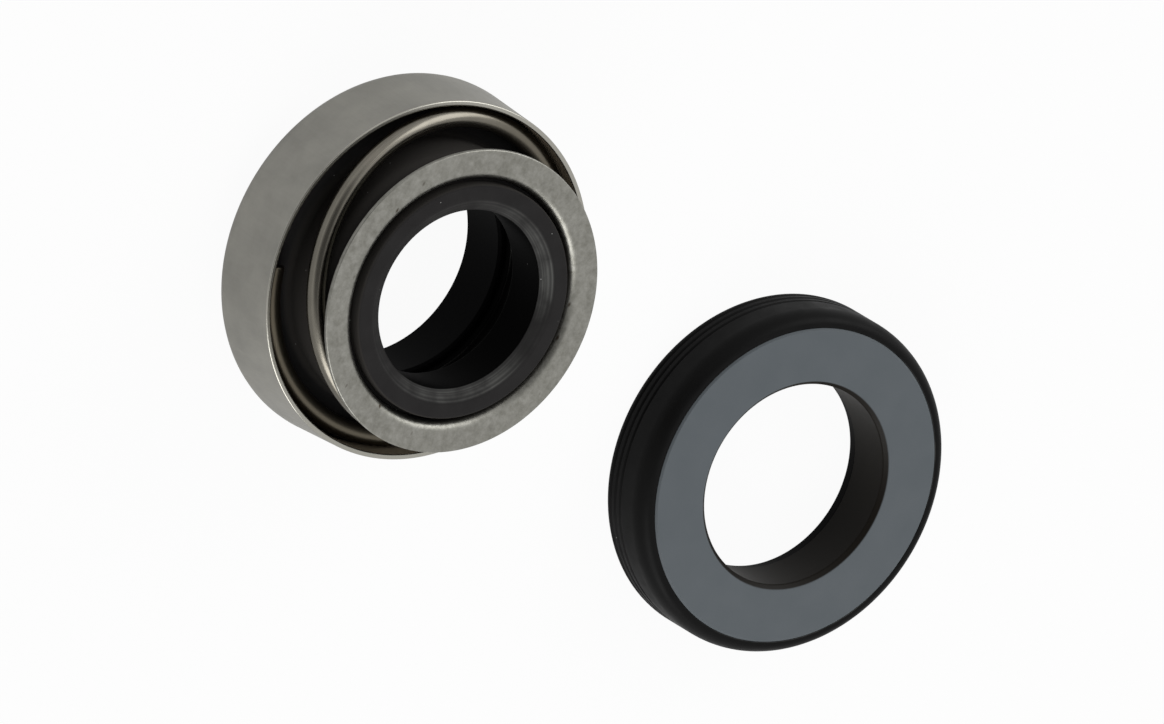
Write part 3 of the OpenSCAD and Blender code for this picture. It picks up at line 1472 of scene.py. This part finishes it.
        spring = new_piece("wound_spring", points, faces, self.spring)
        self.lay_along(spring, lengths, sides)
        return spring

    def lay_along(self, spring: bpy.types.Object, lengths: list[float], sides: int) -> None:
        """Writes each corner's place along and round the wire, in metres.

        Args:
            spring: The swept wire.
            lengths: Length of wire up to each ring, in millimetres.
            sides: Number of sides round the wire.
        """
        layer = spring.data.uv_layers.new(name=SpringWire.along)
        girth = 2 * math.pi * self.wire_r
        for face in spring.data.polygons:
            wraps = len(face.vertices) == 4 and 0 in {v % sides for v in face.vertices}
            wraps = wraps and (sides - 1) in {v % sides for v in face.vertices}
            for loop, vertex in zip(face.loop_indices, face.vertices):
                ring, side = divmod(vertex, sides)
                if wraps and side == 0:
                    side = sides
                layer.data[loop].uv = (lengths[ring] * MM, girth * side / sides * MM)

    def spring_holder(self) -> bpy.types.Object:
        """Builds the pressed holder, turned down into a collar round the tail.

        Returns:
            The holder.
        """
        edge = self.sheet_edge_r
        return turned(
            "pressed_holder",
            [
                Corner(self.collar_in_r, self.holder.low, edge),
                Corner(self.collar_r, self.holder.low, edge),
                Corner(self.collar_r, self.holder_under, self.roll_r - self.holder_t),
                Corner(self.holder.radius, self.holder_under, edge),
                Corner(self.holder.radius, self.holder.high, edge),
                Corner(self.collar_in_r, self.holder.high, self.roll_r),
            ],
            self.holder,
            around=320,
            steps=10,
        )

    def build(self, finishes: "Finishes") -> list[bpy.types.Object]:
        """Builds and dresses the head's pieces, and mounts all but the bellows.

        Args:
            finishes: The materials that the seal shares.

        Returns:
            The pieces.
        """
        carbon = self.carbon_ring()
        dress(carbon, finishes.carbon, "carbon_ring")
        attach(carbon, Body.SEALING.value)

        shell = self.retainer_shell()
        dress(shell, finishes.shell, "retainer_shell")
        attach(shell, Body.SEALING.value)

        bellows = self.bellows()
        dress(bellows, finishes.rubber, "bellows")
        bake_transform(bellows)

        spring = self.coil_spring()
        dress(spring, finishes.wire, "coil_spring")
        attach(spring, Body.SEALING.value)
        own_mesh(spring)

        holder = self.spring_holder()
        dress(holder, finishes.holder, "spring_holder")
        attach(holder, Body.DRIVE.value)
        return [carbon, shell, bellows, spring, holder]


@dataclass
class SealSeat:
    """The stationary seat: a lapped ring in a moulded rubber boot.

    Sizes are in millimetres. Heights and outer radii come from the frame.
    """

    ring_bore_r: float = 10.85
    ring_chamfer: float = 0.2
    ring_edge_r: float = 0.06
    bore_edge: float = 0.45
    bore_edge_r: float = 0.3
    hole_step: float = 0.25
    hole_edge_r: float = 0.25
    boot_edge_t: float = 0.3
    shoulder_h: float = 2.0
    shoulder_steps: int = 16
    lip_r: float = 0.15
    boot_back_r: float = 0.7
    groove_count: int = 3
    groove_z: float = 1.05
    groove_pitch: float = 0.9
    groove_w: float = 0.4
    groove_h: float = 0.22
    groove_lip_r: float = 0.12
    groove_root_r: float = 0.08

    def __post_init__(self) -> None:
        """Reads the places of the ring and the boot."""
        self.ring = place_of("seat_ring")
        self.boot = place_of("seat_boot")

    def seat_ring(self) -> bpy.types.Object:
        """Builds the lapped ring.

        Returns:
            The ring.
        """
        cut = self.ring_chamfer
        bore, rim = self.ring_bore_r, self.ring.radius
        low, high = self.ring.low, self.ring.high
        return turned(
            "lapped_ring",
            [
                Corner(bore + cut, low),
                Corner(rim - cut, low),
                Corner(rim, low + cut),
                Corner(rim, high - cut, self.ring_edge_r),
                Corner(rim - cut, high, self.ring_edge_r),
                Corner(bore + self.bore_edge, high, self.bore_edge_r),
                Corner(bore, high - self.bore_edge, self.bore_edge_r),
                Corner(bore, low + cut),
            ],
            self.ring,
            around=320,
            steps=4,
        )

    def seat_boot(self) -> bpy.types.Object:
        """Builds the rubber boot with its grooved side and rounded shoulder.

        Returns:
            The boot.
        """
        hole_r = self.ring_bore_r + self.hole_step
        rim = self.boot.radius
        curve_w = rim - self.ring.radius - self.boot_edge_t
        land_top = self.boot.high - self.shoulder_h
        corners = [Corner(hole_r, 0, self.hole_edge_r), Corner(rim, 0, self.boot_back_r)]
        for i in range(self.groove_count):
            middle = self.groove_z + i * self.groove_pitch
            corners += [
                Corner(rim, middle - self.groove_w / 2, self.groove_lip_r),
                Corner(rim - self.groove_h, middle, self.groove_root_r),
                Corner(rim, middle + self.groove_w / 2, self.groove_lip_r),
            ]
        for i in range(self.shoulder_steps + 1):
            angle = math.pi / 2 * i / self.shoulder_steps
            corners.append(
                Corner(
                    rim - curve_w * (1 - math.cos(angle)),
                    land_top + self.shoulder_h * math.sin(angle),
                    0,
                )
            )
        corners += [
            Corner(self.ring.radius, self.boot.high, self.lip_r),
            Corner(self.ring.radius, self.ring.low),
            Corner(hole_r, self.ring.low, self.hole_edge_r),
        ]
        return turned("rubber_boot", corners, self.boot, around=320, steps=5)

    def build(self, finishes: "Finishes") -> list[bpy.types.Object]:
        """Builds, dresses and mounts the seat's pieces.

        Args:
            finishes: The materials that the seal shares.

        Returns:
            The pieces.
        """
        ring = self.seat_ring()
        dress(ring, finishes.ceramic, "seat_ring")
        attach(ring, Body.SEALING.value)
        boot = self.seat_boot()
        dress(boot, finishes.boot_rubber, "seat_boot")
        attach(boot, Body.SEALING.value)
        return [ring, boot]


class Finishes:
    """The seal's materials, each made once."""

    def __init__(self) -> None:
        """Makes each material."""
        self.carbon = PressedCarbon().material()
        self.shell = DrawnStainless().material()
        bellows = place_of("bellows")
        self.rubber = NitrileRubber(axis_mm=(bellows.x, bellows.y)).material()
        self.boot_rubber = NitrileRubber(
            name="moulded_nitrile_boot",
            dark="#0e0e0e",
            bloom="#161616",
            # Painted fill light on the boot's outward walls, a little lighter than its dark.
            wall="#121212",
            dust_spacing_mm=5.0,
            roughness=0.42,
            specular=0.05,
        ).material()
        self.wire = SpringWire().material()
        self.holder = TumbledStainless().material()
        self.ceramic = LappedSiliconCarbide().material()


@dataclass
class PhotoCamera:
    """The camera at the photograph's viewing angle.

    Attributes:
        azimuth: Direction round the part, in degrees; 0 looks along +Y.
        elevation: Height above the horizon, in degrees.
        roll: Turn of the camera about its line of sight, in degrees.
        aim: The point at the picture's centre, in millimetres.
        distance: Distance from that point, in millimetres.
        lens: Focal length, in millimetres.
        near: Nearest distance that it shows, in metres.
        far: Farthest distance that it shows, in metres.
    """

    azimuth: float = -1.4
    elevation: float = 51.8
    roll: float = 121.0
    aim: tuple[float, float, float] = (-0.22, 2.95, 0.0)
    distance: float = 2975.0
    lens: float = 900.0
    near: float = 0.1
    far: float = 10.0

    def build(self) -> bpy.types.Object:
        """Makes the camera and gives it to the scene.

        Returns:
            The camera.
        """
        side, height, roll = (
            math.radians(x) for x in (self.azimuth, self.elevation, self.roll)
        )
        back = Vector(
            (
                math.sin(side) * math.cos(height),
                -math.cos(side) * math.cos(height),
                math.sin(height),
            )
        )
        level = Vector((math.cos(side), math.sin(side), 0))
        upright = back.cross(level)
        right = math.cos(roll) * level + math.sin(roll) * upright
        up = back.cross(right)
        turn = Matrix((right, up, back)).transposed().to_4x4()
        data = bpy.data.cameras.new("photo_camera")
        data.lens = self.lens
        data.clip_start = self.near
        data.clip_end = self.far
        camera = bpy.data.objects.new("photo_camera", data)
        camera.matrix_world = (
            Matrix.Translation((Vector(self.aim) + back * self.distance) * MM) @ turn
        )
        bpy.context.scene.collection.objects.link(camera)
        bpy.context.scene.camera = camera
        return camera


@dataclass(frozen=True)
class Lamp:
    """A soft square lamp that points at the part.

    Attributes:
        name: The lamp's name.
        towards: Direction from the part to the lamp.
        distance: Distance from the part, in metres.
        side: Length of the lamp's side, in metres.
        watts: Its power.
    """

    name: str
    towards: tuple[float, float, float]
    distance: float
    side: float
    watts: float

    def build(self) -> bpy.types.Object:
        """Makes the lamp.

        Returns:
            The lamp's object.
        """
        data = bpy.data.lights.new(self.name, "AREA")
        data.energy = self.watts
        data.size = self.side
        lamp = bpy.data.objects.new(self.name, data)
        direction = Vector(self.towards).normalized()
        lamp.location = direction * self.distance
        lamp.rotation_mode = "QUATERNION"
        lamp.rotation_quaternion = direction.to_track_quat("Z", "Y")
        lamp.visible_camera = False
        bpy.context.scene.collection.objects.link(lamp)
        return lamp


@dataclass
class Studio:
    """The pale floor, the soft lamps and the white surroundings.

    Attributes:
        floor_side: Length of the floor's side, in metres.
        floor_drop: Gap between the floor and the part, in millimetres.
        floor_colour: The floor's own colour.
        white_share: Share of plain white that the camera sees in the floor.
        mirror_share: Share of plain white that reflections see in the floor.
        sky: Level of the surroundings as a light.
        open_side: Direction of the opening that the photographer looks in through.
        open_edge: How nearly a direction points there where the opening starts and is full.
        open_level: Level of the surroundings in that opening.
        lamps: The soft lamps.
    """

    floor_side: float = 6.0
    floor_drop: float = 0.02
    floor_colour: str = "#dcdcdc"
    white_share: float = 0.95
    mirror_share: float = 0.35
    sky: float = 0.65
    open_side: tuple[float, float, float] = (0.0, -0.62, 0.78)
    open_edge: tuple[float, float] = (0.7, 0.95)
    open_level: float = 0.2
    lamps: tuple[Lamp, ...] = (
        Lamp("right_softbox", (-0.82, 0.28, 0.5), 0.8, 0.55, 2.6),
        Lamp("left_softbox", (0.85, 0.0, 0.5), 0.8, 0.5, 3.1),
    )

    def seen(
        self, tree: bpy.types.NodeTree, camera: float, mirrored: float
    ) -> bpy.types.NodeSocket:
        """Tells the rays that see the background from those that only carry light.

        Args:
            tree: The node tree to add to.
            camera: Value on the camera's own rays.
            mirrored: Value on reflected rays and on those that pass through glass.

        Returns:
            A socket with those values, and 0 on the other rays.
        """
        path = add_node(tree, "LightPath")
        indirect = add_node(
            tree,
            "Math",
            {"operation": "ADD", "use_clamp": True},
            {0: path.outputs["Is Glossy Ray"], 1: path.outputs["Is Transmission Ray"]},
        )
        weighed = add_node(
            tree, "Math", {"operation": "MULTIPLY"}, {0: indirect.outputs[0], 1: mirrored}
        )
        total = add_node(
            tree,
            "Math",
            {"operation": "MULTIPLY_ADD"},
            {0: path.outputs["Is Camera Ray"], 1: camera, 2: weighed.outputs[0]},
        )
        return total.outputs[0]

    def floor(self) -> bpy.types.Object:
        """Makes the floor, which keeps the part's shadow.

        Returns:
            The floor's object.
        """
        half = self.floor_side / 2
        mesh = bpy.data.meshes.new("floor")
        corners = [(-half, -half, 0), (half, -half, 0), (half, half, 0), (-half, half, 0)]
        mesh.from_pydata(corners, [], [(0, 1, 2, 3)])
        floor = bpy.data.objects.new("floor", mesh)
        floor.location.z = -self.floor_drop * MM
        bpy.context.scene.collection.objects.link(floor)
        material, tree = new_tree("pale_floor")
        share = self.seen(tree, self.white_share, self.mirror_share)
        plain = add_node(tree, "BsdfDiffuse", inputs={"Color": to_linear(self.floor_colour)})
        white = add_node(tree, "Emission", inputs={"Strength": 1.0})
        mixed = add_node(
            tree,
            "MixShader",
            inputs={0: share, 1: plain.outputs[0], 2: white.outputs[0]},
        )
        output_surface(tree, mixed)
        mesh.materials.append(material)
        return floor

    def world(self) -> None:
        """Makes the white surroundings, a little weaker as a light than as a background.

        They are a light tent: the side that the photographer looks in through is open and darker,
        which draws a dark line along polished wire. The camera's own rays see plain white all round.
        """
        world = bpy.data.worlds.new("studio")
        world.use_nodes = True
        tree = world.node_tree
        tree.nodes.clear()
        level = add_node(
            tree,
            "MapRange",
            inputs={"Value": self.seen(tree, 0.0, 1.0), "To Min": self.sky, "To Max": 1.0},
        )
        where = add_node(tree, "TexCoord")
        facing = add_node(
            tree,
            "VectorMath",
            {"operation": "DOT_PRODUCT"},
            {0: where.outputs["Generated"], 1: Vector(self.open_side).normalized()},
        )
        opening = add_node(
            tree,
            "MapRange",
            {"interpolation_type": "SMOOTHSTEP"},
            {
                "Value": facing.outputs["Value"],
                "From Min": self.open_edge[0],
                "From Max": self.open_edge[1],
                "To Min": 1.0,
                "To Max": self.open_level,
            },
        )
        tent = add_node(
            tree,
            "Math",
            {"operation": "MULTIPLY"},
            {0: level.outputs["Result"], 1: opening.outputs["Result"]},
        )
        strength = add_node(
            tree,
            "Math",
            {"operation": "MAXIMUM"},
            {0: tent.outputs[0], 1: self.seen(tree, 1.0, 0.0)},
        )
        back = add_node(
            tree,
            "Background",
            inputs={"Color": (1, 1, 1, 1), "Strength": strength.outputs[0]},
        )
        add_node(tree, "OutputWorld", inputs={"Surface": back.outputs[0]})
        bpy.context.scene.world = world

    def build(self) -> None:
        """Makes the floor, the surroundings and the lamps."""
        self.floor()
        self.world()
        for lamp in self.lamps:
            lamp.build()
        bpy.context.scene.view_settings.view_transform = "Standard"


def report(pieces: list[bpy.types.Object]) -> None:
    """Logs each piece with its number of faces.

    Args:
        pieces: The pieces of one half of the seal.
    """
    for piece in pieces:
        log.info("%s: %d faces", piece.name, len(piece.data.polygons))


def main() -> None:
    """Builds the seal, the studio and the camera."""
    logging.basicConfig(level=logging.INFO, format="%(message)s")
    finishes = Finishes()
    for half in (SealHead(), SealSeat()):
        report(half.build(finishes))
    Studio().build()
    PhotoCamera().build()


if __name__ == "__main__":
    main()
